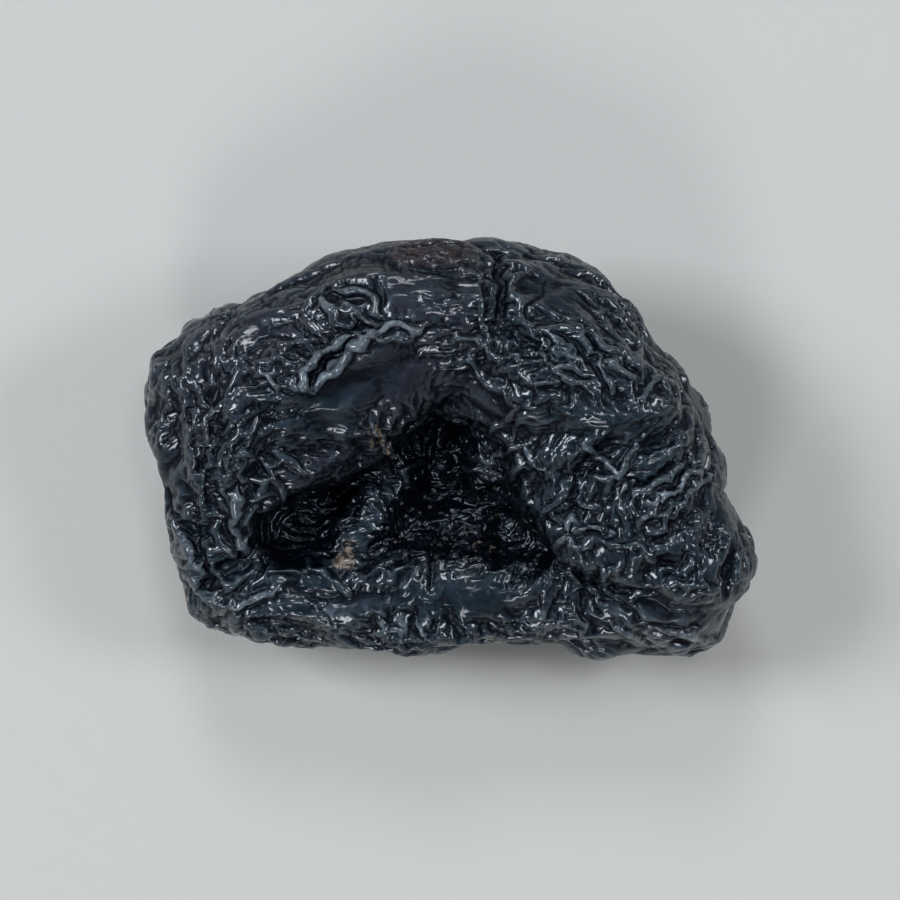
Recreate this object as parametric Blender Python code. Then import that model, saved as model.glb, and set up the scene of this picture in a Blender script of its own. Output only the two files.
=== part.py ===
# A pitted prune lying on a flat surface with its empty middle upwards, as one solid.
# Plump rolls of dried flesh stand round a sunken hollow, on a rounded belly. The skin over them is
# pinched into folds where the rolls meet, and shrunk into wrinkles everywhere else.
# Metres, +Z up. The origin is at the middle of the underside. +X runs along the fruit and +Y across it,
# with the tall crown on the +Y side and the lower lip of the hollow on the -Y side.

import math

import bmesh
import bpy
from mathutils import Matrix, Vector, noise
from mathutils.bvhtree import BVHTree
from mathutils.kdtree import KDTree

MM = 0.001

# Driving dimensions: the finished fruit is scaled to these, whatever its rolls add up to.
LENGTH = 43.5 * MM
WIDTH = 30.0 * MM
HEIGHT = 19.5 * MM

# The rolls of flesh. Each is a row of balls along a curve: (x, y, z, radius) in millimetres.
ROLLS = {
    "crown": (
        (-15.6, 2.2, 11.0, 6.0),
        (-9.0, 5.5, 12.0, 6.5),
        (-1.2, 8.6, 12.5, 6.5),
        (6.0, 6.9, 12.2, 6.8),
        (11.9, 2.0, 11.8, 6.3),
    ),
    "overhang on the left of the hollow": (
        (-13.4, -1.6, 10.8, 5.0),
        (-10.4, 0.7, 11.2, 4.9),
        (-6.7, 3.4, 11.7, 4.7),
        (-2.4, 6.6, 12.2, 4.4),
    ),
    "left cheek": (
        (-15.6, 2.2, 11.0, 6.0),
        (-15.6, -2.0, 10.4, 5.7),
        (-15.0, -6.2, 9.6, 4.9),
        (-13.9, -9.2, 8.9, 4.5),
    ),
    "right cheek": (
        (11.9, 2.0, 11.8, 6.3),
        (14.4, -2.6, 11.3, 6.2),
        (15.8, -8.5, 10.3, 6.1),
    ),
    "right shoulder": (
        (5.2, 5.6, 12.2, 5.0),
        (8.6, 1.8, 11.8, 5.4),
        (10.4, -2.6, 11.3, 5.3),
        (12.4, -6.8, 10.5, 4.9),
    ),
    "lower lip": (
        (-14.0, -9.8, 8.8, 4.5),
        (-8.5, -11.4, 9.9, 4.1),
        (-1.5, -11.5, 10.0, 3.9),
        (5.5, -11.2, 9.7, 3.8),
        (11.8, -11.6, 8.8, 3.9),
        (17.1, -12.1, 8.0, 3.9),
    ),
    "right slope of the hollow": (
        (3.3, 1.6, 10.3, 2.5),
        (3.8, -1.0, 9.9, 2.5),
        (5.2, -3.6, 9.0, 2.3),
    ),
    "web in the hollow": (
        (-1.2, 0.4, 8.4, 1.3),
        (-3.4, -2.4, 9.9, 1.5),
        (-5.6, -5.6, 10.9, 1.5),
        (-8.2, -9.2, 11.4, 2.0),
    ),
    "back of the belly": (
        (-14.2, 1.0, 7.6, 5.8),
        (-8.0, 4.6, 7.4, 6.0),
        (0.0, 7.2, 7.3, 6.0),
        (8.0, 5.0, 7.4, 6.0),
        (13.6, -0.5, 7.6, 5.8),
    ),
    "front of the belly": (
        (-14.2, 1.0, 7.6, 5.8),
        (-12.4, -6.4, 7.0, 5.2),
        (-4.0, -9.0, 6.5, 5.1),
        (5.0, -9.0, 6.5, 5.1),
        (13.4, -7.4, 7.0, 5.2),
        (13.6, -0.5, 7.6, 5.8),
    ),
    "under the hollow": (
        (-8.0, -0.6, 5.2, 5.0),
        (0.0, -1.2, 4.6, 4.6),
        (8.0, -2.0, 5.2, 5.0),
    ),
}
BALLS_BETWEEN = 9  # steps from one given ball to the next, close enough to leave no waist

# Where the skin is pinched in (a negative height) or puckered up (a positive one) along a line.
# Each is a height and a reach in millimetres, the side that it is drawn on, and its line on that side:
# (x, y) for the top and the underside, (x, z) for the front and the back, (y, z) for the ends.
PINCHES = (
    (-1.5, 1.0, "top", ((6.2, -7.6), (10.8, -10.4), (14.6, -12.2), (18.2, -12.7), (21.0, -12.2))),
    (-1.2, 0.9, "top", ((-8.6, -7.0), (-12.9, -8.2), (-16.2, -9.8), (-18.6, -11.2))),
    (-2.2, 1.5, "top", ((-13.6, -7.6), (-11.2, -6.2), (-8.6, -4.6), (-6.2, -2.6))),
    (-1.2, 0.8, "top", ((3.3, 14.4), (3.7, 12.2), (3.7, 9.8), (4.8, 7.8), (6.8, 6.4))),
    (-0.7, 1.3, "top", ((0.0, 11.6), (1.6, 11.2))),
    (-0.5, 0.8, "top", ((-11.2, 5.6), (-7.8, 7.3), (-3.2, 9.6))),
    (-0.5, 0.8, "top", ((-10.2, 2.6), (-6.8, 4.4), (-2.0, 6.8))),
    (0.5, 0.7, "top", ((-10.7, 4.1), (-7.3, 5.8), (-2.6, 8.2))),
    (-0.9, 0.8, "top", ((-17.0, 6.4), (-16.4, 2.0), (-17.2, -2.6), (-15.6, -7.0))),
    (-0.8, 0.7, "top", ((-13.6, 4.0), (-12.8, 0.2), (-14.2, -3.6), (-13.6, -6.2))),
    (-0.8, 0.7, "top", ((-19.2, 3.6), (-19.6, -0.6), (-18.4, -5.0), (-17.4, -8.0))),
    (-0.7, 0.6, "top", ((2.0, 1.2), (1.4, -2.4), (2.2, -5.6))),
    (-0.7, 0.6, "top", ((4.6, -1.4), (3.6, -4.2), (4.8, -7.2))),
    (-0.6, 0.6, "top", ((-2.2, -3.8), (-0.6, -5.6), (0.8, -8.4))),
    (-0.6, 0.6, "top", ((-5.2, -7.8), (-2.4, -7.4), (0.2, -6.6))),
    (-1.2, 1.6, "top", ((2.0, -7.0), (4.6, -7.4), (6.6, -8.0))),
    (0.5, 0.6, "top", ((0.2, 0.8), (-0.2, -2.6), (0.8, -5.0), (-0.4, -7.4))),
    (0.5, 0.6, "top", ((3.2, -1.6), (2.6, -4.8), (3.2, -8.0))),
    (-0.7, 0.8, "top", ((3.6, -1.2), (7.4, 0.6), (11.0, 0.8))),
    (-0.7, 0.8, "top", ((4.8, -3.4), (9.0, -2.4), (13.4, -0.4), (17.4, 1.0))),
    (-0.7, 0.8, "top", ((6.0, -5.8), (9.6, -5.2), (13.2, -3.4), (18.4, -2.4))),
    (-0.6, 0.8, "top", ((12.0, -9.4), (15.4, -9.8), (18.6, -8.0), (19.0, -5.2))),
    (-0.9, 1.1, "back", ((-17.0, 8.2), (-9.0, 6.4), (-1.0, 7.4), (7.0, 5.6), (14.0, 7.6))),
    (-0.8, 1.0, "back", ((-12.0, 12.4), (-5.0, 11.2), (1.0, 12.6))),
    (-0.8, 1.0, "back", ((4.0, 11.0), (9.0, 9.4), (13.0, 11.6))),
    (-1.1, 1.1, "front", ((-16.0, 5.8), (-8.0, 5.0), (0.0, 6.6), (8.0, 5.2), (17.0, 6.4))),
    (-0.9, 0.9, "front", ((-12.0, 9.0), (-5.0, 9.8), (2.0, 8.6))),
    (-0.8, 0.9, "front", ((0.0, 11.4), (6.0, 10.0), (12.0, 10.6), (17.0, 9.0))),
    (-0.8, 0.9, "front", ((-8.0, 3.0), (-1.0, 3.8), (6.0, 2.8))),
    (-0.8, 1.0, "left", ((-9.0, 6.0), (-3.0, 7.4), (3.0, 6.4), (8.0, 8.8))),
    (-0.8, 1.0, "left", ((-4.0, 11.0), (1.0, 10.2), (5.0, 12.6))),
    (-0.8, 1.0, "right", ((-11.0, 6.4), (-5.0, 5.6), (1.0, 7.6), (6.0, 6.8))),
    (-0.8, 1.0, "right", ((-8.0, 11.4), (-3.0, 9.6), (2.0, 12.2))),
    (-1.1, 1.1, "underside", ((-16.0, 2.0), (-9.0, 5.6), (0.0, 4.4), (8.0, 6.6), (14.0, 2.4))),
    (-1.1, 1.1, "underside", ((-14.0, -7.0), (-7.0, -5.2), (0.0, -7.0), (7.0, -5.4), (14.0, -6.6))),
    (-0.9, 0.9, "underside", ((-17.0, -2.6), (-13.0, -0.6), (-9.0, -1.4), (-6.0, -4.0))),
    (-0.9, 0.9, "underside", ((6.0, 3.6), (9.6, 0.4), (13.0, -1.2), (17.0, -0.6))),
    (-0.8, 0.9, "underside", ((-12.0, 5.0), (-6.0, 8.4), (1.0, 8.0), (6.0, 10.0))),
    (-0.8, 0.9, "underside", ((-2.0, -9.8), (4.0, -10.4), (9.0, -8.4), (14.0, -9.6))),
)
SIDES = {
    "top": Vector((0, 0, 1)),
    "underside": Vector((0, 0, -1)),
    "front": Vector((0, -1, 0)),
    "back": Vector((0, 1, 0)),
    "left": Vector((-1, 0, 0)),
    "right": Vector((1, 0, 0)),
}

PINCH_STEPS = 12  # from one given point of a line to the next
PINCH_FARTHEST = 3  # reaches from the line, past which nothing moves

# The scar where the stalk was, a dimple in the back of the crown with the skin drawn in round it.
STALK_SCAR = Vector((-1.0, 14.6, 9.8)) * MM
SCAR_DEPTH = 1.3 * MM
SCAR_REACH = 2.2 * MM
SCAR_RAYS = 9
SCAR_RAY_HEIGHT = 0.25 * MM
SCAR_RAY_REACH = 4.8 * MM

# The hollow, and the wrinkles that run into it.
HOLLOW_CENTRE = Vector((0.6, -4.6, 11.0)) * MM
HOLLOW_REACH = 9.5 * MM
HOLLOW_TOP = 15.0 * MM
HOLLOW_RAYS = 13
HOLLOW_RAY_LENGTH = 9.0 * MM
HOLLOW_RAY_SHARE = 0.6
PULP_SPACING = 2.9 * MM
PULP_SHARE = 0.5

# The skin: slow swellings, with wrinkles on them, with finer wrinkles on those.
FINE_GRID = 0.42 * MM
SOFTENING = 18
SLOW_SPACING = 9.0 * MM
SLOW_HEIGHT = 1.3 * MM
WRINKLE_SPACING = 4.2 * MM
WRINKLE_HEIGHT = 0.9 * MM
USUAL_SHARE = 0.4  # of the wrinkle height, which counts as the level of the skin
FINE_SPACING = 2.3 * MM
FINE_SHARE = 0.35
CREASE_SHARE = 0.14
BEND_SPACING = 4.5 * MM
BEND_REACH = 1.5 * MM
SEED = 5

# Which way the wrinkles run, and how many times longer than wide they are.
LEFT_RUN = (Vector((-0.2, 1, 0.5)), 2.6)
RIGHT_RUN = (Vector((0.8, 0.5, 0)), 2.4)
MIDDLE_RUN = (Vector((1, 0.25, 0)), 2.2)

# From where to where, along one direction, the fruit turns into its left flank, its right flank, its crown.
LEFT_FLANK_X = (-11.0 * MM, -16.0 * MM)
RIGHT_FLANK_X = (3.0 * MM, 7.0 * MM)
RIGHT_FLANK_Y = (3.0 * MM, -1.0 * MM)
RIGHT_FLANK_Z = (7.5 * MM, 8.5 * MM)
CROWN_Z = (13.0 * MM, 16.0 * MM)
CROWN_MIDDLE = Vector((0, 7.0)) * MM
CROWN_REACH = Vector((12.0, 5.0)) * MM
CROWN_SMOOTHNESS = 0.55

BASE_DEPTH = 0.45 * MM
BASE_CALM = 0.8 * MM  # wrinkles fade out below this height, which leaves the resting spot whole
MOST_TRIANGLES = 11600


def curve_through(points, steps):
    """Points along a smooth curve through the given ones, with every number in them blended."""
    given = [Vector(p) for p in points]
    given = [2 * given[0] - given[1], *given, 2 * given[-1] - given[-2]]
    route = []
    for a, b, c, d in zip(given, given[1:], given[2:], given[3:]):
        for step in range(steps):
            t = step / steps
            bend = (2 * a - 5 * b + 4 * c - d) * t**2 + (3 * b - a - 3 * c + d) * t**3
            route.append((2 * b + (c - a) * t + bend) / 2)
    return [*route, given[-2]]


def balls_of_flesh():
    """Every roll as overlapping balls, in one mesh."""
    mesh = bmesh.new()
    for beads in ROLLS.values():
        for ball in curve_through(beads, BALLS_BETWEEN):
            bmesh.ops.create_icosphere(
                mesh,
                subdivisions=3,
                radius=ball.w * MM,
                matrix=Matrix.Translation(ball.xyz * MM),
            )
    data = bpy.data.meshes.new("flesh")
    mesh.to_mesh(data)
    mesh.free()
    return data


def with_modifiers(data, *makers):
    """A new mesh: the given one after these modifiers."""
    carrier = bpy.data.objects.new("carrier", data)
    bpy.context.scene.collection.objects.link(carrier)
    for make in makers:
        make(carrier.modifiers)
    graph = bpy.context.evaluated_depsgraph_get()
    result = bpy.data.meshes.new_from_object(carrier.evaluated_get(graph))
    bpy.data.objects.remove(carrier)
    return result


def one_skin(modifiers):
    remesh = modifiers.new("one skin", "REMESH")
    remesh.mode = "VOXEL"
    remesh.voxel_size = FINE_GRID


def soften(modifiers):
    smooth = modifiers.new("soften", "SMOOTH")
    smooth.factor = 0.5
    smooth.iterations = SOFTENING


def fewer_triangles(modifiers):
    carrier = modifiers.id_data
    triangles = sum(len(face.vertices) - 2 for face in carrier.data.polygons)
    decimate = modifiers.new("fewer triangles", "DECIMATE")
    decimate.ratio = MOST_TRIANGLES / triangles
    decimate.use_collapse_triangulate = True


def place_on_side(side, u, v):
    """A point well outside the fruit on that side, from the two numbers that a pinch gives."""
    away = SIDES[side]
    if away.z:
        place = Vector((u, v, 0))
    elif away.y:
        place = Vector((u, 0, v))
    else:
        place = Vector((0, u, v))
    return place * MM + away * LENGTH


def pinch_lines(surface):
    """Each pinch with a search tree of points along its line, dropped onto the surface."""
    lines = []
    for height, reach, side, route in PINCHES:
        hits = []
        for place in curve_through([(u, v, 0) for u, v in route], PINCH_STEPS):
            hit = surface.ray_cast(place_on_side(side, *place.xy), -SIDES[side])[0]
            if hit:
                hits.append(hit)
        tree = KDTree(len(hits))
        for index, hit in enumerate(hits):
            tree.insert(hit, index)
        tree.balance()
        lines.append((height * MM, reach * MM, len(hits), tree))
    return lines


def pinched(point, lines):
    """How far the pinches move this point, each fading towards the two ends of its line."""
    total = 0.0
    for height, reach, count, tree in lines:
        _, index, distance = tree.find(point)
        if distance < PINCH_FARTHEST * reach:
            ends = math.sqrt(math.sin(math.pi * (index + 1) / (count + 1)))
            total += height * ends * math.exp(-((distance / reach) ** 2))
    return total


def bent(point):
    """The point moved about by a slow noise, which keeps wrinkles from running straight."""
    return point + BEND_REACH * Vector(noise.noise_vector(point / BEND_SPACING))


def fade(value, start, end):
    """0 before the start, 1 past the end, and evenly from one to the other between them."""
    return max(0.0, min(1.0, (value - start) / (end - start)))


def puffed(point, spacing):
    """Rounded bulges from 0 to about 1, parted by sharp creases."""
    return 1 - math.exp(-abs(noise.noise(point / spacing)) / CREASE_SHARE)


def along(point, direction, stretch):
    """The point with its distance along one direction shortened, so that what it carries runs that way."""
    unit = direction.normalized()
    return point - unit * point.dot(unit) * (1 - 1 / stretch)


def hollow_wrinkles(point):
    """Wrinkles like rays that run into the hollow."""
    offset = point - HOLLOW_CENTRE
    turn = math.atan2(offset.y, offset.x)
    out = offset.length / HOLLOW_RAY_LENGTH
    ring = Vector((math.cos(turn), math.sin(turn), 0)) * HOLLOW_RAYS / (2 * math.pi)
    return puffed(ring + Vector((0, 0, out)), 1)


def crown_share(point):
    """1 on top of the crown, where the skin is smoother."""
    x, y = (point.xy - CROWN_MIDDLE) / MM
    across, back = CROWN_REACH / MM
    return math.exp(-((x / across) ** 2) - (y / back) ** 2) * fade(point.z, *CROWN_Z)


def wrinkled(point):
    """How far the shrunken skin stands out here: its wrinkles change direction round the fruit."""
    moved = bent(point)
    left = fade(point.x, *LEFT_FLANK_X)
    right = fade(point.x, *RIGHT_FLANK_X) * fade(point.y, *RIGHT_FLANK_Y) * fade(point.z, *RIGHT_FLANK_Z)
    runs = (
        (left, LEFT_RUN),
        (right * (1 - left), RIGHT_RUN),
        ((1 - right) * (1 - left), MIDDLE_RUN),
    )
    skin = sum(share * puffed(along(moved, *run), WRINKLE_SPACING) for share, run in runs if share)
    skin += FINE_SHARE * puffed(moved, FINE_SPACING)
    skin *= 1 - CROWN_SMOOTHNESS * crown_share(point)
    near = fade((point - HOLLOW_CENTRE).length, HOLLOW_REACH, HOLLOW_REACH / 2) * (point.z < HOLLOW_TOP)
    hollow = HOLLOW_RAY_SHARE * hollow_wrinkles(moved) + PULP_SHARE * puffed(moved, PULP_SPACING)
    height = WRINKLE_HEIGHT * (skin * (1 - near) + hollow * near - USUAL_SHARE)
    return height + SLOW_HEIGHT * (1 - near) * noise.noise(point / SLOW_SPACING)


def stalk_scar(point):
    offset = point - STALK_SCAR
    turn = math.atan2(offset.z, offset.x)
    close = math.exp(-((offset.length / SCAR_REACH) ** 2))
    rays = math.exp(-((offset.length / SCAR_RAY_REACH) ** 2)) * math.cos(SCAR_RAYS * turn)
    return SCAR_RAY_HEIGHT * rays * (1 - close) - SCAR_DEPTH * close


def raise_relief(data):
    """Moves each point of the skin in or out, along the way that the skin faces there."""
    mesh = bmesh.new()
    mesh.from_mesh(data)
    mesh.normal_update()
    lines = pinch_lines(BVHTree.FromBMesh(mesh))
    for vertex in mesh.verts:
        calm = fade(vertex.co.z, BASE_DEPTH, BASE_DEPTH + BASE_CALM)
        relief = calm * (wrinkled(vertex.co) + pinched(vertex.co, lines)) + stalk_scar(vertex.co)
        vertex.co += vertex.normal * relief
    mesh.to_mesh(data)
    mesh.free()


def flatten_base(mesh):
    """Cuts the underside level and closes it with one flat face, which the fruit rests on."""
    base = min(vertex.co.z for vertex in mesh.verts) + BASE_DEPTH
    bmesh.ops.bisect_plane(
        mesh,
        geom=[*mesh.verts, *mesh.edges, *mesh.faces],
        plane_co=(0, 0, base),
        plane_no=(0, 0, 1),
        clear_inner=True,
    )
    bmesh.ops.edgeloop_fill(mesh, edges=[edge for edge in mesh.edges if edge.is_boundary])
    bmesh.ops.recalc_face_normals(mesh, faces=mesh.faces)


def fit_to_size(mesh):
    """Puts the middle of the underside at the origin and scales each way to the driving dimensions."""
    low = Vector(min(vertex.co[axis] for vertex in mesh.verts) for axis in range(3))
    high = Vector(max(vertex.co[axis] for vertex in mesh.verts) for axis in range(3))
    middle = Vector(((low.x + high.x) / 2, (low.y + high.y) / 2, low.z))
    size = high - low
    bmesh.ops.translate(mesh, verts=mesh.verts, vec=-middle)
    bmesh.ops.scale(mesh, verts=mesh.verts, vec=(LENGTH / size.x, WIDTH / size.y, HEIGHT / size.z))


def prune_skin():
    """Blue-black skin with the soft shine of dried fruit."""
    material = bpy.data.materials.new("skin")
    material.use_nodes = True
    shader = material.node_tree.nodes["Principled BSDF"]
    shader.inputs["Base Color"].default_value = (0.0090, 0.0125, 0.0185, 1)
    shader.inputs["Roughness"].default_value = 0.38
    shader.inputs["Metallic"].default_value = 0
    return material


def main():
    for old in list(bpy.data.objects):
        bpy.data.objects.remove(old)
    noise.seed_set(SEED)
    data = with_modifiers(balls_of_flesh(), one_skin, soften)
    raise_relief(data)
    data = with_modifiers(data, one_skin)
    data = with_modifiers(data, fewer_triangles)
    mesh = bmesh.new()
    mesh.from_mesh(data)
    flatten_base(mesh)
    fit_to_size(mesh)
    mesh.to_mesh(data)
    mesh.free()
    data.name = "prune"
    data.materials.clear()
    data.materials.append(prune_skin())
    data.shade_smooth()
    prune = bpy.data.objects.new("prune", data)
    bpy.context.scene.collection.objects.link(prune)


main()
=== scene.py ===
import math

import bmesh
import bpy
import numpy as np
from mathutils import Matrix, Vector, noise
from mathutils.bvhtree import BVHTree
from mathutils.kdtree import KDTree


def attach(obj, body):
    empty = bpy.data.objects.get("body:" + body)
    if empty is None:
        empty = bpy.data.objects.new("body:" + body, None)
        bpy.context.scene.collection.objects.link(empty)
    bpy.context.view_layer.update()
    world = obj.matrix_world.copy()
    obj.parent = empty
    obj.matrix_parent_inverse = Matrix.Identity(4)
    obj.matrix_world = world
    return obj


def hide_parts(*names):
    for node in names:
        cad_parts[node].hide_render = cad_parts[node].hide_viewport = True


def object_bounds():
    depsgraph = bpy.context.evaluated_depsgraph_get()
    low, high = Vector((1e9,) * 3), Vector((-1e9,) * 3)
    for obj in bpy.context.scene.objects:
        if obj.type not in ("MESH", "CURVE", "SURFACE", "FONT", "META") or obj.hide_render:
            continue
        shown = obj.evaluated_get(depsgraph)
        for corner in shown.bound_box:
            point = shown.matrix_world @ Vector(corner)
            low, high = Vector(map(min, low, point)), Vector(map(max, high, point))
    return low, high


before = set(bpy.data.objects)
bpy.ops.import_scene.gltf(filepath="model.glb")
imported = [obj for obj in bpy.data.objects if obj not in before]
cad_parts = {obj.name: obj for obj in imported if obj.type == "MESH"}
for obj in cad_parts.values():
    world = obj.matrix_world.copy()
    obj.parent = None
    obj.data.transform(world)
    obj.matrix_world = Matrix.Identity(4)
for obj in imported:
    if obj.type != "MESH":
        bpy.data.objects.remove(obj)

mm = 0.001
cadBox = [list(corner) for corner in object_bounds()]


# "#rrggbb" as it looks on screen, turned to the linear colour that a shader takes
def linear(hexColour):
    shares = [int(hexColour[i:i + 2], 16) / 255 for i in (1, 3, 5)]
    return [s / 12.92 if s <= 0.04045 else ((s + 0.055) / 1.055) ** 2.4 for s in shares] + [1]


# adds a node, sets what is named, and links what is given as a socket
def addNode(tree, kind, inputs=None, **settings):
    node = tree.nodes.new(kind)
    for name, value in settings.items():
        setattr(node, name, value)
    for name, value in (inputs or {}).items():
        if isinstance(value, bpy.types.NodeSocket):
            tree.links.new(value, node.inputs[name])
        else:
            node.inputs[name].default_value = value
    return node


def newObject(name, mesh):
    made = bpy.data.objects.new(name, mesh)
    bpy.context.scene.collection.objects.link(made)
    return made


# the plain mesh that an object's modifiers make, with the object thrown away
def finishedMesh(carrier, name):
    graph = bpy.context.evaluated_depsgraph_get()
    mesh = bpy.data.meshes.new_from_object(carrier.evaluated_get(graph))
    mesh.name = name
    bpy.data.objects.remove(carrier)
    return mesh


def readPoints(mesh):
    flat = np.empty(len(mesh.vertices) * 3, np.float32)
    mesh.vertices.foreach_get("co", flat)
    return flat.reshape(-1, 3).astype(float)


def writePoints(mesh, points):
    mesh.vertices.foreach_set("co", points.astype(np.float32).ravel())
    mesh.update()


def readNormals(mesh):
    flat = np.empty(len(mesh.vertices) * 3, np.float32)
    mesh.vertex_normals.foreach_get("vector", flat)
    return flat.reshape(-1, 3).astype(float)


def storeShare(mesh, name, values):
    layer = mesh.attributes.new(name, "FLOAT", "POINT")
    layer.data.foreach_set("value", values.astype(np.float32))


def unit(vectors):
    return vectors / np.maximum(np.linalg.norm(vectors, axis=1, keepdims=True), 1e-12)


# rises from 0 to 1 as value goes from low to high
def ramp(value, low, high):
    share = np.clip((value - low) / (high - low), 0, 1)
    return share * share * (3 - 2 * share)


# slow random values, one for each point, about -1 to 1
def patches(points, size, shift):
    return np.array([noise.noise(Vector(p) / size + Vector((shift, 0, 0))) for p in points]) * 1.6


# The skin is recast finer and finer, and each time left to buckle on its flesh, as it did when it dried.
skinSizes = {
    "seed": 11,
    # grid in mm, soften = rounds of smoothing after the recast, wave = width of a wrinkle in grid steps,
    # growth = share that the skin is too big by, even = share of it that goes the same way everywhere,
    # seen = share of the seen folds that is raised first, side = how loose the skin is on the sides,
    # down and up = how hard the flesh holds the skin down and up: the coarse passes leave round ridges
    # between sharp creases, the finest one lifts thin ridges off flat skin
    "passes": (
        {"grid": 0.50, "soften": 5, "wave": 6.2, "growth": 0.060, "even": 0.10, "steps": 150, "seen": 0.0,
         "down": 1.7, "up": 0.7, "side": 1.5},
        {"grid": 0.30, "soften": 4, "wave": 5.0, "growth": 0.060, "even": 0.20, "steps": 150, "seen": 0.25,
         "down": 1.5, "up": 0.8, "side": 1.2},
        {"grid": 0.18, "soften": 5, "wave": 4.3, "growth": 0.18, "even": 0.35, "steps": 150, "seen": 0.50,
         "down": 0.8, "up": 1.6, "side": 0.62},
    ),
    "seenWidth": 0.72,      # narrower than they look, because the skin spreads them as it buckles
    "seenCrease": 0.55,
    "seenWander": 0.30,     # mm
    "firmness": 0.05,       # how much the skin resists bending
    "widerBy": 0.9,         # how much the width of wrinkles varies
    "rounderBy": 0.6,       # and how round they are
    "scatter": 0.02,        # grid steps, unevenness that the wrinkles start from
    "slide": 0.3,           # how hard the flesh holds the skin sideways
    "glide": 0.88,          # share of the speed that stays after each step
    "stride": 0.07,
    "seenPull": 2.5,        # how hard the seen folds turn the wrinkles beside them their way
    "stray": 0.7,           # how far the others stray from theirs
    "topLoose": 0.85,       # how loose the skin is on the top
    "tightBelow": 0.6,      # share of the looseness that the underside lacks
    "tightest": 0.08,
    "loosest": 1.8,
    "patchSize": 5 * mm,    # smooth and wrinkled patches of about this size
    "kindSize": 3.2 * mm,   # patches of one kind of wrinkle
    "mostBare": 0.82,       # share of the looseness that the smooth places lack
    "flatSpot": 0.35 * mm,  # depth of what is flattened where it lies
    "ridgeReach": (8, 0.10),    # rounds of smoothing, and the usual height over the smoothed skin in mm
    "foldReach": (60, 0.40),
    "shelterRays": 48,
    "shelterReach": 12 * mm,
    # smooth places on the top that show from above: x, y, reach along x, along y in mm, strength
    "bare": (
        (-8.2, 3.4, 3.2, 1.3, 1.0), (-2.5, 11.4, 4.2, 1.6, 0.85), (-12.6, 8.6, 2.6, 1.8, 1.0),
        (6.6, 11.0, 2.4, 1.5, 0.9), (14.8, 7.2, 1.8, 1.9, 1.0), (10.5, 1.6, 3.6, 1.2, 0.8),
        (-2.0, -10.5, 3.6, 1.4, 1.0), (3.2, -10.6, 3.0, 1.3, 1.0), (-6.4, -10.9, 2.2, 1.1, 0.8),
        (11.6, -7.6, 2.4, 1.3, 0.7), (17.6, -8.0, 3.0, 2.4, 0.6), (19.0, -4.0, 1.5, 1.6, 1.0),
    ),
    # and crinkled ones
    "crinkled": (
        (-6.8, 10.0, 2.4, 1.6, 0.5), (10.8, 6.2, 3.2, 2.4, 0.7), (-15.0, -1.0, 2.8, 3.0, 0.5),
        (13.2, -2.6, 4.0, 2.0, 0.6), (0.0, -13.3, 8.0, 0.8, 0.8), (9.5, -9.9, 2.2, 1.4, 0.6),
        (4.6, -1.6, 2.4, 2.4, 0.5), (-12.6, -1.2, 2.4, 1.6, 0.4), (-4.6, 0.5, 0.9, 1.2, 0.8),
    ),
    "hollow": (0.0010, -0.0045, 0.0110),    # middle of the hollow, m
    "lobe": (0.0155, -0.0082, 0.010),       # and of the right lobe
    "mostTriangles": 196000,
}

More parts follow.
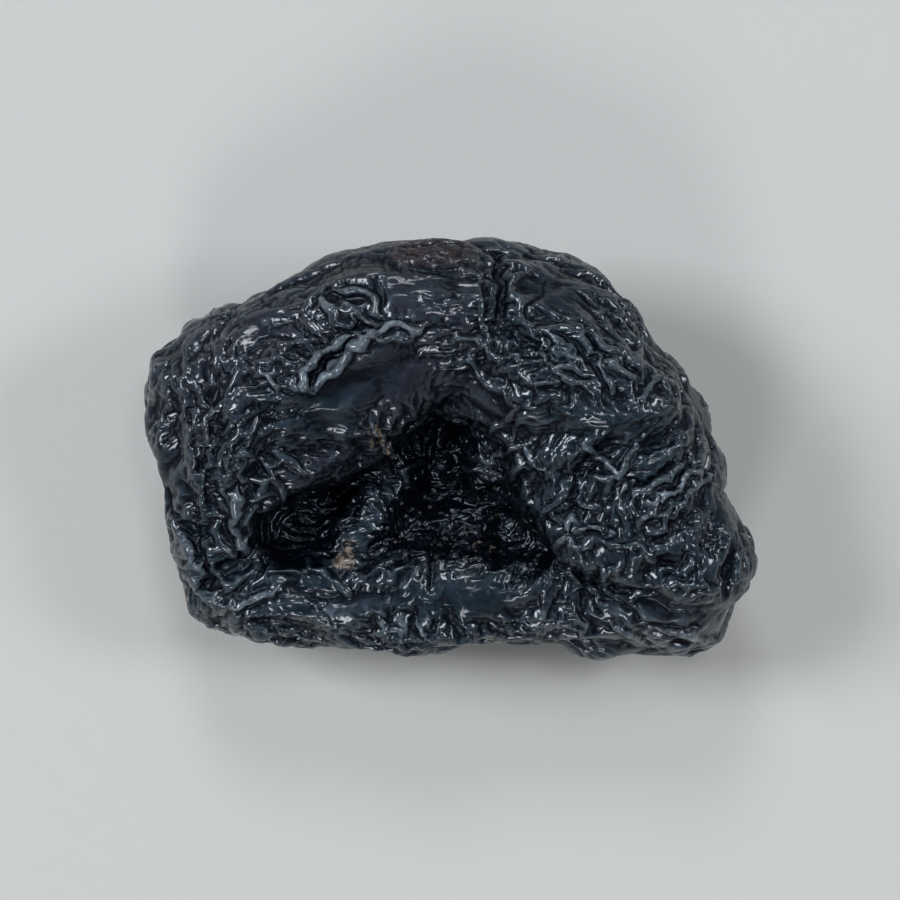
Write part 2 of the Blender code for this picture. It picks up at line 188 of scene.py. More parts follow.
# folds that show from above: height and half width in mm, then the way they run as x, y in mm
seenFolds = (
    # raised loop on the crown, and the short one after it
    (0.85, 0.30, ((-10.2, 4.6), (-10.1, 5.3), (-9.0, 6.4), (-8.0, 7.2), (-7.1, 7.5), (-6.2, 7.6))),
    (0.95, 0.32, ((-10.2, 4.4), (-9.4, 4.2), (-8.6, 5.0), (-7.5, 6.0), (-6.6, 6.7), (-5.6, 7.5),
                  (-5.0, 8.1))),
    (-1.00, 0.28, ((-9.4, 5.1), (-9.2, 5.4), (-8.4, 6.3), (-7.3, 6.9))),
    (0.85, 0.30, ((-5.1, 8.0), (-4.3, 8.5), (-3.0, 8.4), (-2.2, 8.2))),
    (0.55, 0.30, ((-4.7, 7.7), (-3.5, 7.6), (-2.5, 7.9))),
    (-0.40, 0.30, ((-4.6, 9.0), (-3.6, 8.9), (-2.4, 8.8))),
    # whorl behind the loop
    (0.35, 0.35, ((-10.0, 9.6), (-9.7, 10.7), (-8.7, 11.5), (-7.8, 11.6))),
    (0.45, 0.35, ((-8.9, 10.3), (-8.2, 9.6), (-7.8, 8.7))),
    (0.45, 0.35, ((-8.0, 11.1), (-6.9, 11.0), (-5.8, 10.8), (-5.2, 10.1), (-5.0, 9.6))),
    (0.40, 0.32, ((-6.9, 10.1), (-6.1, 9.6), (-5.3, 8.8))),
    (0.35, 0.28, ((-7.4, 9.5), (-6.8, 9.6), (-6.5, 9.1), (-6.9, 8.6), (-7.4, 8.7))),
    (-0.45, 0.30, ((-7.0, 10.5), (-6.2, 10.4))),
    (-0.40, 0.28, ((-5.9, 9.7), (-5.2, 9.1))),
    (-0.45, 0.40, ((-4.9, 11.7), (-4.8, 10.0))),
    # short ones on the crown's left
    (-0.35, 0.30, ((-13.9, 6.3), (-13.3, 5.5), (-12.7, 4.8))),
    (0.35, 0.32, ((-13.2, 5.3), (-12.5, 4.8), (-12.1, 4.4))),
    (0.35, 0.40, ((-11.7, 7.4), (-10.9, 7.5), (-10.1, 7.7))),
    (0.30, 0.30, ((-10.9, 5.0), (-10.6, 4.2))),
    (0.35, 0.35, ((-18.8, 2.6), (-18.2, 3.1))),
    (0.30, 0.32, ((-17.7, 4.0), (-17.1, 3.2), (-16.3, 2.6))),
    # left flank, where they run down it
    (-0.45, 0.32, ((-18.2, 2.0), (-17.7, 0.4), (-17.5, -1.3))),
    (0.35, 0.35, ((-17.0, 1.6), (-16.6, 0.2), (-16.8, -1.0))),
    (0.35, 0.30, ((-17.3, -1.8), (-17.2, -4.0))),
    (-0.60, 0.38, ((-20.1, -2.8), (-19.6, -4.4), (-18.8, -5.4), (-18.1, -5.9), (-17.8, -8.0))),
    (-0.45, 0.32, ((-19.9, -5.0), (-19.6, -6.9))),
    (0.40, 0.35, ((-20.4, -3.0), (-20.6, -5.8))),
    (0.55, 0.42, ((-18.6, -6.2), (-18.4, -8.0), (-17.7, -9.2), (-17.3, -10.6), (-16.4, -11.3),
                  (-15.0, -11.1), (-13.9, -10.4), (-12.8, -10.2))),
    (-0.60, 0.40, ((-17.4, -7.6), (-16.9, -9.4), (-16.0, -10.3), (-14.8, -10.2), (-13.8, -9.2),
                   (-13.0, -8.0))),
    (0.45, 0.45, ((-15.0, -3.4), (-15.0, -5.4), (-14.5, -7.1))),
    (0.40, 0.35, ((-16.5, -5.6), (-16.3, -6.6), (-15.4, -7.4))),
    (0.35, 0.30, ((-16.6, -8.4), (-15.9, -9.6), (-15.2, -9.8))),
    (0.40, 0.32, ((-14.6, -2.0), (-13.6, -1.9), (-12.8, -2.3))),
    (0.45, 0.35, ((-14.4, -0.2), (-13.1, -0.9), (-12.2, -2.0), (-11.6, -3.2), (-11.4, -4.2))),
    (0.40, 0.32, ((-12.1, 0.0), (-11.3, -0.8), (-10.4, -1.6))),
    (0.35, 0.30, ((-12.4, -5.2), (-11.6, -4.5))),
    # web in the hollow and the thin curl beside it
    (0.40, 0.35, ((-7.4, -3.9), (-6.2, -3.5), (-5.5, -2.7))),
    (0.35, 0.30, ((-7.7, -5.4), (-6.9, -5.2))),
    (0.45, 0.24, ((-5.4, 1.7), (-4.9, 0.9), (-4.6, 0.1), (-4.1, -0.4), (-3.8, 0.1), (-4.1, 0.5))),
    (0.55, 0.28, ((-1.2, 1.0), (-1.5, -0.5), (-2.5, -0.9), (-3.0, -1.5), (-2.8, -2.3))),
    # lip, left part
    (0.45, 0.35, ((-9.9, -8.1), (-8.7, -8.6), (-8.3, -9.4))),
    (0.35, 0.30, ((-7.7, -9.5), (-7.0, -9.9))),
    (0.50, 0.42, ((-14.2, -12.4), (-12.7, -13.3), (-11.2, -13.9), (-10.1, -14.8))),
    # arcs round the hollow's top
    (0.45, 0.35, ((0.6, 8.1), (1.8, 7.6), (2.8, 6.9), (3.5, 6.1))),
    (0.45, 0.35, ((1.4, 6.1), (2.6, 5.2), (3.7, 4.2))),
    (0.25, 0.30, ((2.2, 12.0), (2.2, 9.4), (2.9, 7.4))),
    (0.25, 0.30, ((3.1, 11.6), (3.1, 9.4))),
    # right cheek: its edge, the forked crease and the crinkled patch
    (-0.90, 0.50, ((3.5, 13.6), (3.6, 12.0), (3.6, 10.2), (4.1, 8.6), (5.2, 7.6), (6.2, 7.2))),
    (0.50, 0.38, ((5.2, 12.8), (4.6, 11.6), (4.5, 10.4), (4.9, 9.3), (5.6, 8.7))),
    (-0.30, 0.25, ((4.7, 9.3), (5.6, 10.1), (6.4, 10.8), (6.8, 11.7))),
    (0.25, 0.35, ((6.2, 10.0), (7.2, 9.4))),
    (-0.45, 0.32, ((6.3, 7.9), (6.9, 7.1), (6.6, 6.3))),
    (0.45, 0.35, ((6.7, 6.3), (7.7, 5.5), (8.7, 4.6), (9.7, 4.2))),
    (0.40, 0.30, ((8.0, 6.0), (9.5, 5.0))),
    (0.40, 0.30, ((10.4, 7.5), (11.5, 6.6))),
    (0.40, 0.32, ((11.3, 6.1), (12.6, 5.0))),
    (0.35, 0.32, ((13.4, 7.4), (12.9, 6.1))),
    (0.40, 0.35, ((14.7, 5.2), (13.4, 3.6))),
    (0.30, 0.28, ((10.7, 5.8), (11.0, 4.4))),
    (0.30, 0.30, ((9.2, 8.0), (9.7, 7.0))),
    (-0.40, 0.28, ((9.8, 7.8), (10.4, 7.0), (11.3, 6.2))),
    (0.35, 0.35, ((16.4, 5.6), (16.8, 4.6))),
    # right slope of the hollow
    (0.40, 0.32, ((3.0, 1.2), (4.2, 2.2), (5.6, 3.3))),
    (0.40, 0.30, ((4.3, 0.7), (5.4, 2.3))),
    (0.35, 0.35, ((1.9, 2.1), (1.8, 1.1))),
    (0.35, 0.32, ((2.8, -0.8), (4.0, -0.2), (4.9, 0.2))),
    (0.45, 0.32, ((2.8, -1.7), (4.2, -1.9), (4.8, -1.4))),
    (0.35, 0.30, ((0.6, -1.4), (1.9, -1.3))),
    (0.40, 0.32, ((5.7, 0.5), (5.8, -0.9), (6.4, -1.5))),
    (0.45, 0.30, ((6.4, -4.7), (7.2, -3.8), (8.0, -3.0))),
    (0.50, 0.38, ((8.2, -5.4), (8.8, -4.9))),
    (0.40, 0.38, ((7.6, -6.9), (8.3, -6.2))),
    # right flank
    (0.50, 0.35, ((9.5, 0.3), (10.2, -0.6), (11.2, -1.3), (12.1, -1.9))),
    (0.45, 0.32, ((12.2, -1.7), (12.6, -0.6), (12.9, 0.1))),
    (0.45, 0.35, ((9.3, -3.3), (10.1, -4.1))),
    (0.40, 0.32, ((10.2, -2.1), (11.5, -2.2))),
    (0.50, 0.35, ((13.0, -3.1), (14.2, -2.9), (15.1, -2.2), (15.9, -1.3))),
    (0.40, 0.26, ((15.3, -3.4), (16.3, -2.4), (17.3, -1.6))),
    (0.40, 0.26, ((16.2, -3.7), (17.2, -2.7), (18.0, -2.0))),
    (0.40, 0.32, ((13.2, -5.3), (14.1, -4.6), (15.0, -4.8), (14.9, -5.6), (13.9, -5.8))),
    (0.40, 0.35, ((9.3, -5.5), (10.7, -5.8))),
    (-0.30, 0.35, ((8.2, -6.2), (9.6, -5.9), (10.8, -6.3))),
    # right lobe, which lies over the lip's end
    (0.35, 0.35, ((8.8, -6.9), (10.8, -6.5), (13.0, -6.8), (14.4, -7.6))),
    (0.45, 0.35, ((10.8, -8.7), (11.9, -8.1))),
    (0.45, 0.36, ((11.1, -8.8), (10.8, -9.6), (11.5, -10.2), (13.0, -10.4), (14.3, -10.0))),
    (0.40, 0.35, ((8.4, -8.7), (9.0, -9.7), (10.0, -10.1))),
    (0.35, 0.35, ((16.0, -9.3), (17.8, -9.6))),
    (0.35, 0.35, ((19.0, -9.0), (18.1, -10.3))),
    (0.35, 0.40, ((20.4, -6.4), (20.5, -10.0))),
    (0.30, 0.45, ((15.0, -8.6), (16.8, -8.2))),
    (-0.65, 0.42, ((12.5, -10.9), (13.4, -12.0), (14.9, -12.4), (17.6, -12.6))),
    (0.40, 0.40, ((11.8, -12.9), (13.4, -13.4), (14.9, -13.9))),
    (0.40, 0.36, ((14.0, -12.9), (15.6, -13.8), (17.2, -14.5))),
    (0.40, 0.32, ((16.6, -12.9), (17.8, -13.5), (18.8, -13.9))),
)

# pale and brown places: strength, reach in mm, and the way they run as x, y in mm
fleshSpots = (
    (1.0, 0.42, ((-7.3, -6.9), (-7.8, -8.0), (-7.0, -8.0), (-7.2, -7.0))),
    (0.6, 0.28, ((-7.1, -6.9), (-6.9, -6.2))),
    (0.75, 0.28, ((-5.2, 1.6), (-4.7, 0.6), (-4.2, -0.3))),
    (0.55, 0.28, ((-5.7, 1.5), (-5.4, 0.2))),
    (0.4, 0.50, ((19.8, -1.8), (19.9, -2.8))),
)
brownSpots = (
    (0.85, 1.4, ((-3.0, 13.6), (-1.0, 14.0), (0.4, 13.8))),
    (0.45, 1.2, ((-8.0, 12.2), (-5.5, 12.8))),
    (0.45, 1.4, ((-2.0, -6.6), (1.8, -6.8))),
)
plumSpots = (
    (1.0, 3.6, ((-11.5, 7.6), (-7.0, 9.6), (-1.0, 10.6))),
    (0.8, 2.6, ((-18.0, 3.4), (-14.0, 5.5))),
    (0.7, 2.2, ((-11.5, -2.0), (-7.5, -1.0), (-3.5, 3.2))),
    (0.8, 2.0, ((1.0, 3.4), (4.4, 1.4))),
)
# folds whose crests get dried sugar and a painted highlight
highlitCrestSpots = (
    (1.0, 0.45, ((-5.1, 1.3), (-4.5, 0.2), (-4.0, -0.5))),
    (1.0, 0.55, ((-10.6, 4.5), (-8.4, 5.4), (-6.0, 7.0), (-5.0, 8.1))),
    (0.9, 0.50, ((-10.1, 5.3), (-9.0, 6.4), (-7.1, 7.5), (-6.2, 7.6))),
    (1.0, 0.50, ((-5.1, 8.0), (-4.3, 8.5), (-2.1, 8.2))),
    (0.7, 0.60, ((-8.7, 10.3), (-6.5, 10.8), (-5.0, 9.8))),
    (0.6, 0.50, ((-13.1, 5.2), (-11.0, 4.5))),
    (0.7, 0.70, ((-18.4, -6.6), (-17.6, -9.4), (-15.0, -10.9), (-12.8, -10.2))),
    (0.6, 1.20, ((-14.6, -3.4), (-14.4, -6.6))),
    (0.5, 0.70, ((9.4, 0.2), (11.0, -1.6), (13.0, -2.9))),
    (0.8, 0.80, ((14.0, -3.2), (15.9, -2.4), (17.6, -1.6))),
    (0.8, 0.50, ((8.4, -4.9), (8.1, -6.5))),
    (0.35, 1.60, ((8.0, 6.8), (13.0, 4.6))),
    (0.6, 1.00, ((-8.0, -12.0), (-2.0, -12.6))),
    (0.6, 1.00, ((6.5, -12.2), (13.0, -12.6), (17.0, -13.4))),
    (0.5, 0.80, ((2.6, -1.2), (4.6, -0.6), (5.8, 1.6))),
)
# where crumbs of pulp stick
pulpSpots = (
    (1.0, 1.7, ((-1.6, -6.0), (2.0, -7.0), (4.2, -6.0))),
    (0.5, 1.4, ((0.0, -3.2), (3.0, -4.2))),
    (1.6, 0.5, ((-5.6, 1.7), (-4.4, -0.4))),
    (1.6, 0.5, ((-8.0, -7.8), (-7.0, -6.5))),
)


def recast(mesh, grid, soften):
    carrier = newObject("recast", mesh)
    cast = carrier.modifiers.new("cast", "REMESH")
    cast.mode = "VOXEL"
    cast.voxel_size = grid * mm
    smooth = carrier.modifiers.new("soften", "SMOOTH")
    smooth.iterations = soften
    return finishedMesh(carrier, "skin")


# every edge, and both diagonals of every square, as pairs of points
def linksOf(mesh):
    edges = np.empty(len(mesh.edges) * 2, np.int32)
    mesh.edges.foreach_get("vertices", edges)
    corners = np.array([p.vertices[:] for p in mesh.polygons if len(p.vertices) == 4])
    if len(corners) == 0:
        return edges.reshape(-1, 2)
    return np.concatenate([edges.reshape(-1, 2), corners[:, [0, 2]], corners[:, [1, 3]]])


# nearness to each route, seen from above, and the way that the route runs there
def nearRoute(flat, route, reach):
    best = np.full(len(flat), np.inf)
    way = np.zeros((len(flat), 2))
    for start, end in zip(np.array(route[:-1]), np.array(route[1:])):
        run = end - start
        share = np.clip(((flat - start) @ run) / (run @ run), 0, 1)
        gap = np.linalg.norm(flat - start - share[:, None] * run, axis=1)
        closer = gap < best
        best[closer] = gap[closer]
        way[closer] = run / np.linalg.norm(run)
    return np.exp(-(best / reach) ** 2), way


# the seen folds' height in mm at each point, and the way that they run
def foldsAt(points, normals):
    lift = np.zeros(len(points))
    ways = np.zeros((len(points), 3))
    faceUp = ramp(normals[:, 2], -0.1, 0.35) * ramp(points[:, 2] / mm, 4, 7)
    wander = np.column_stack([patches(points, 1.4 * mm, shift) for shift in (53, 67)])
    flat = points[:, :2] / mm + skinSizes["seenWander"] * wander
    uneven = np.clip(1 + 0.5 * patches(points, 1.1 * mm, 71), 0.5, 1.5)     # higher here, lower there
    for height, width, route in seenFolds:
        height *= skinSizes["seenCrease"] if height < 0 else 1
        width *= skinSizes["seenWidth"]
        low = np.array(route).min(0) - 3 * width
        high = np.array(route).max(0) + 3 * width
        inside = np.all((flat > low) & (flat < high), axis=1)
        near, way = nearRoute(flat[inside], route, width)
        lift[inside] += height * near * uneven[inside]
        ways[inside, :2] += way * near[:, None]
    return lift * faceUp, ways * faceUp[:, None]


# which way the ridges run at each point
def ridgeDirections(points, normals):
    x, y, z = (points / mm).T
    count = len(points)
    fromHollow = points - np.array(skinSizes["hollow"])
    rays = unit(fromHollow * [1, 1, 0.3])
    lobe = points - np.array(skinSizes["lobe"])
    arcs = unit(np.column_stack([-lobe[:, 1], lobe[:, 0], np.zeros(count)]))
    rings = unit(np.column_stack([-fromHollow[:, 1], fromHollow[:, 0], np.zeros(count)]))
    rimGap = np.linalg.norm(fromHollow[:, :2] / mm, axis=1)
    top = ramp(z, 8, 11)
    zones = (
        (ramp(-x, 11, 15), np.array([0.25, 1.0, 0.3])),                         # left flank: down it
        (ramp(x, 3, 6) * ramp(-y, -4, 0) * top, np.array([0.75, 0.6, 0.0])),    # right: slanting
        (ramp(x, 5, 8) * ramp(y, 2, 4) * top, np.array([0.75, -0.6, 0.0])),     # right cheek: slants back
        (ramp(x, 7, 10) * ramp(-y, 5, 7) * ramp(z, 6, 9), arcs),                # lobe: round its middle
        (ramp(11 - rimGap, 0, 3) * ramp(-x, -2, 2) * top, rays),                # left rim: to the hollow
        (ramp(x, -1, 2) * ramp(y, 3, 5) * ramp(-x, -5, -3) * top, rings),       # back rim: round it
        (ramp(-z, -6, -2), np.array([1.0, 0.0, 0.0])),                          # underside: lengthwise
    )
    way = np.tile([1.0, 0.0, 0.0], (count, 1))
    for share, run in zones:
        way = way * (1 - share[:, None]) + run * share[:, None]
    wander = np.column_stack([patches(points, 5 * mm, s) for s in (3, 17, 29)])
    way = unit(way) + skinSizes["stray"] * wander
    way = way - normals * (way * normals).sum(1, keepdims=True)
    return unit(way)


# nearness to soft-edged spots, seen from above
def nearSpots(points, spots):
    x, y = points[:, 0] / mm, points[:, 1] / mm
    near = np.zeros(len(points))
    for middleX, middleY, reachX, reachY, strength in spots:
        near += strength * np.exp(-((x - middleX) / reachX) ** 2 - ((y - middleY) / reachY) ** 2)
    return near


# how much the skin is too big for the flesh at each point: 1 is usual, less is smoother
def looseness(points, normals, side):
    top = ramp(points[:, 2] / mm, 7, 10) * ramp(normals[:, 2], 0.1, 0.5)
    loose = side + (skinSizes["topLoose"] - side) * top + 0.6 * patches(points, skinSizes["patchSize"], 41)
    loose += nearSpots(points, skinSizes["crinkled"]) * top
    loose *= 1 - skinSizes["tightBelow"] * ramp(-normals[:, 2], 0.3, 0.8)
    loose *= 1 - skinSizes["mostBare"] * np.clip(nearSpots(points, skinSizes["bare"]), 0, 1) * top
    return np.clip(loose, skinSizes["tightest"], skinSizes["loosest"])


# at each point, what its links bring to it
def sumAtPoints(links, values, count):
    out = np.empty((count, 3))
    for axis in range(3):
        out[:, axis] = np.bincount(links[:, 0], values[:, axis], count)
        out[:, axis] -= np.bincount(links[:, 1], values[:, axis], count)
    return out


# how far the middle of its neighbours is from each point
def standOff(points, links, degree):
    gap = points[links[:, 1]] - points[links[:, 0]]
    return sumAtPoints(links, gap, len(points)) / degree[:, None]


# lets a skin that is too big for its flesh find its own wrinkles
def buckle(mesh, settings, seed):
    grid = settings["grid"] * mm
    points = readPoints(mesh)
    normals = readNormals(mesh)
    links = linksOf(mesh)
    count = len(points)
    lift, ways = foldsAt(points, normals)
    points = points + normals * (lift * settings["seen"] * mm)[:, None]
    start = points / grid
    degree = np.bincount(links.ravel(), minlength=count).astype(float)
    along = start[links[:, 1]] - start[links[:, 0]]
    length = np.linalg.norm(along, axis=1)
    ridge = unit(ridgeDirections(points, normals) + skinSizes["seenPull"] * ways)
    middle = unit(ridge[links[:, 0]] + ridge[links[:, 1]])
    across = 1 - ((along / length[:, None]) * middle).sum(1) ** 2
    loose = looseness(points, normals, settings["side"])
    share = (loose[links[:, 0]] + loose[links[:, 1]]) / 2
    even = settings["even"]
    grown = length * (1 + settings["growth"] * share * (even + (1 - even) * across))
    # in places the wrinkles are wider, and round between sharp creases instead of thin and raised
    wider = np.exp(skinSizes["widerBy"] * patches(points, skinSizes["kindSize"], 83))[:, None]
    rounder = np.exp(skinSizes["rounderBy"] * patches(points, skinSizes["kindSize"], 97))
    firmness = skinSizes["firmness"]
    # a skin on soft ground wrinkles at the width where bending and ground cost the same; 7.1 fits it to
    # this net of links
    hold = firmness * (2 * math.pi / settings["wave"]) ** 4 / 7.1
    curve = standOff(start, links, degree)
    scatter = np.random.default_rng(seed).normal(0, skinSizes["scatter"], count)
    place = start + normals * scatter[:, None]
    speed = np.zeros_like(place)
    for step in range(settings["steps"]):
        gap = place[links[:, 1]] - place[links[:, 0]]
        now = np.linalg.norm(gap, axis=1)
        push = sumAtPoints(links, gap * ((now - grown) / now)[:, None], count)
        bend = standOff(place, links, degree) - curve
        push -= firmness * standOff(bend * wider, links, degree)
        moved = place - start
        rise = (moved * normals).sum(1)
        grip = hold * np.where(rise > 0, settings["down"] * rounder, settings["up"] / rounder)
        push -= (grip * rise)[:, None] * normals
        push -= skinSizes["slide"] * hold * (moved - rise[:, None] * normals)
        speed = skinSizes["glide"] * speed + skinSizes["stride"] * push
        place = place + speed
    writePoints(mesh, place * grid)
    rise = ((place - start) * normals).sum(1) * settings["grid"]
    print("  grid", settings["grid"], "mm,", count, "points, wrinkles from", round(rise.min(), 2), "to",
          round(rise.max(), 2), "mm, usually", round(float(np.abs(rise).mean()), 3))


# fewer triangles where the skin is flattest
def lighten(mesh):
    triangles = sum(len(p.vertices) - 2 for p in mesh.polygons)
    if triangles <= skinSizes["mostTriangles"]:
        return mesh
    carrier = newObject("lighten", mesh)
    fewer = carrier.modifiers.new("fewer", "DECIMATE")
    fewer.ratio = skinSizes["mostTriangles"] / triangles
    return finishedMesh(carrier, "skin")


# keeps the wrinkled skin in the CAD box, lying on the floor
def fitToFrame(mesh):
    points = readPoints(mesh)
    low, high = np.array(cadBox[0]), np.array(cadBox[1])
    points[:, 2] -= points[:, 2].min() + skinSizes["flatSpot"]
    points[:, 2] = np.maximum(points[:, 2], 0)
    size = points.max(0) - points.min(0)
    points = (points - points.min(0)) * (high - low) / size + low
    writePoints(mesh, points)


# how far each point stands above the skin's smoothed shape, -1 in a crease and 1 on a ridge
def ridgeShare(points, normals, links, reach):
    rounds, usual = reach
    degree = np.bincount(links.ravel(), minlength=len(points)).astype(float)
    smooth = points.copy()
    for turn in range(rounds):
        smooth = smooth + 0.6 * standOff(smooth, links, degree)
    rise = ((points - smooth) * normals).sum(1)
    return np.clip(rise / (usual * mm), -1, 1)


# how much of the sky each point of the plain solid misses, handed on to the skin
def shelterShare(solid, points):
    tree = BVHTree.FromPolygons([v.co for v in solid.vertices], [p.vertices for p in solid.polygons])
    rays, reach = skinSizes["shelterRays"], skinSizes["shelterReach"]
    golden = math.pi * (3 - math.sqrt(5))
    sky = []
    for i in range(rays):
        height = math.sqrt((i + 0.5) / rays)
        flat = math.sqrt(1 - height * height)
        sky.append(Vector((flat * math.cos(i * golden), flat * math.sin(i * golden), height)))
    places = KDTree(len(solid.vertices))
    hidden = np.zeros(len(solid.vertices))
    for vertex in solid.vertices:
        turn = Vector((0, 0, 1)).rotation_difference(vertex.normal)
        origin = vertex.co + vertex.normal * 0.05 * mm
        hits = sum(tree.ray_cast(origin, turn @ ray, reach)[0] is not None for ray in sky)
        hidden[vertex.index] = hits / rays
        places.insert(vertex.co, vertex.index)
    places.balance()
    out = np.empty(len(points))
    for i, point in enumerate(points):
        near = places.find_n(point, 3)
        weights = [1 / (gap + 0.2 * mm) for _, _, gap in near]
        out[i] = sum(w * hidden[n[1]] for w, n in zip(weights, near)) / sum(weights)
    return out


# nearness to the routes of spots, from 0 to their strength, on what faces up
def spotShare(points, normals, spots):
    share = np.zeros(len(points))
    for strength, reach, route in spots:
        near, _ = nearRoute(points[:, :2] / mm, route, reach)
        share = np.maximum(share, strength * near * ramp(normals[:, 2], -0.1, 0.3))
    return share


# the solid's faces share their points, which the recast needs
def weldedCopy(node):
    mesh = node.data.copy()
    mesh.materials.clear()
    welded = bmesh.new()
    welded.from_mesh(mesh)
    bmesh.ops.remove_doubles(welded, verts=welded.verts, dist=0.001 * mm)
    welded.to_mesh(mesh)
    welded.free()
    return mesh


def makeSkin(node):
    solid = weldedCopy(node)
    mesh = solid
    for number, settings in enumerate(skinSizes["passes"]):
        mesh = recast(mesh, settings["grid"], settings["soften"])
        buckle(mesh, settings, skinSizes["seed"] + number)
    mesh = lighten(mesh)
    fitToFrame(mesh)
    points, normals, links = readPoints(mesh), readNormals(mesh), linksOf(mesh)
    storeShare(mesh, "ridge", ridgeShare(points, normals, links, skinSizes["ridgeReach"]))
    storeShare(mesh, "fold", ridgeShare(points, normals, links, skinSizes["foldReach"]))
    storeShare(mesh, "shelter", shelterShare(solid, points))
    storeShare(mesh, "flesh", spotShare(points, normals, fleshSpots))
    storeShare(mesh, "brown", spotShare(points, normals, brownSpots))
    storeShare(mesh, "plum", spotShare(points, normals, plumSpots))
    storeShare(mesh, "highlitCrests", spotShare(points, normals, highlitCrestSpots))
    storeShare(mesh, "pulp", spotShare(points, normals, pulpSpots))
    storeShare(mesh, "crinkled", looseness(points, normals, 0.5) / skinSizes["loosest"])
    mesh.shade_smooth()
    print("  skin has", sum(len(p.vertices) - 2 for p in mesh.polygons), "triangles")
    return newObject("prune_skin", mesh)


# Skin of a dried European plum, air-dried and softened again with steam: blue-black, with a thin dull
# bloom on what stands proud, sticky gloss on the ridges, painted highlights on the crests, and painted
# shade, near black, in the creases and the hollow.
plumLooks = {
    "slate": "#08171f",
    "plum": "#1e1d27",
    # painted shade in the creases
    "creaseShade": "#02030a",
    "bloomAndRidgeLight": "#11222c",
    # painted highlight on ridge crests and on the finest wrinkles
    "crestHighlight": "#323d46",
    "sugarAndHighlight": "#68737c",     # dried sugar and painted highlight on the listed crests
    # painted shade in the hollow, where the sky is hidden
    "hollow": "#020308",
    "brown": "#35251f",
    "flesh": "#7b6f65",
    "fleshDark": "#352e27",
    "sheen": "#c6e0fc",     # tint of the wax's own shine
    "roughness": 0.34,
    "mattSmooth": 0.14,     # how much rougher the smooth places are
    "wetHollow": -0.14,     # and the hollow, which is sharper and moister
    "waxIor": 1.30,
    "sticky": 1.0,          # weight of the glossy coat of sugar
    "dullSmooth": 0.25,     # what is left of it on the smooth places
    "dullBrown": 0.3,       # and round the stalk scar
    "dryHollow": 0.88,      # how much of it the hollow lacks
    "coatRoughness": 0.15,
    # sizes of the patterns in mm
    "patch": 5.0,           # one tint
    "crinkle": 0.75,        # finest wrinkles
    "pores": 0.45,          # low dimples
    "grain": 0.12,          # dried sugar
    # and how many to a mm
    "specks": 1.1,          # of bloom
    "breaks": 0.9,          # in the finest wrinkles
    "fibres": 3.0,          # of pulp
    # heights of the reliefs in m
    "crinkleHigh": 0.00006,
    "poresHigh": 0.00004,
    "grainHigh": 0.00002,
}


def readShare(tree, name):
    return addNode(tree, "ShaderNodeAttribute", attribute_name=name).outputs["Fac"]


# what runs from low to high in value then runs from atLow to atHigh
def ranged(tree, value, low=0.0, high=1.0, atLow=0.0, atHigh=1.0, **settings):
    spans = {0: value, 1: low, 2: high, 3: atLow, 4: atHigh}
    return addNode(tree, "ShaderNodeMapRange", spans, **settings).outputs[0]


def worked(tree, operation, *values, **settings):
    inputs = dict(enumerate(values))
    return addNode(tree, "ShaderNodeMath", inputs, operation=operation, **settings).outputs[0]


# goes from the first colour to the second, each a hex or a socket
def mixed(tree, share, first, second):
    first, second = [linear(tint) if isinstance(tint, str) else tint for tint in (first, second)]
    return addNode(tree, "ShaderNodeMix", {0: share, 6: first, 7: second}, data_type="RGBA").outputs[2]


def noised(tree, place, scale, detail, **more):
    inputs = {"Vector": place, "Scale": scale, "Detail": detail, **more}
    return addNode(tree, "ShaderNodeTexNoise", inputs).outputs[0]


# finest wrinkles: a warped net of thin ridges, broken up, most where the skin is loosest; the bump follows
# it, and the colour paints it as highlight lines
def crinkleNet(tree, inMm, crinkled):
    fine = 1 / plumLooks["crinkle"]
    warp = addNode(tree, "ShaderNodeTexNoise", {"Vector": inMm, "Scale": fine, "Detail": 3})
    warped = addNode(tree, "ShaderNodeVectorMath", {0: warp.outputs["Color"], 1: (1.1, 1.1, 1.1), 2: inMm},
                     operation="MULTIPLY_ADD").outputs[0]
    net = addNode(tree, "ShaderNodeTexVoronoi", {"Vector": warped, "Scale": fine},
                  feature="DISTANCE_TO_EDGE").outputs[0]
    thin = ranged(tree, net, 0.0, 0.24, 1.0, 0.0, interpolation_type="SMOOTHSTEP")
    whole = ranged(tree, noised(tree, inMm, plumLooks["breaks"], 2), 0.35, 0.60, 0.25, 1.0)
    kept = worked(tree, "MULTIPLY", thin, whole)
    return worked(tree, "MULTIPLY", kept, crinkled)


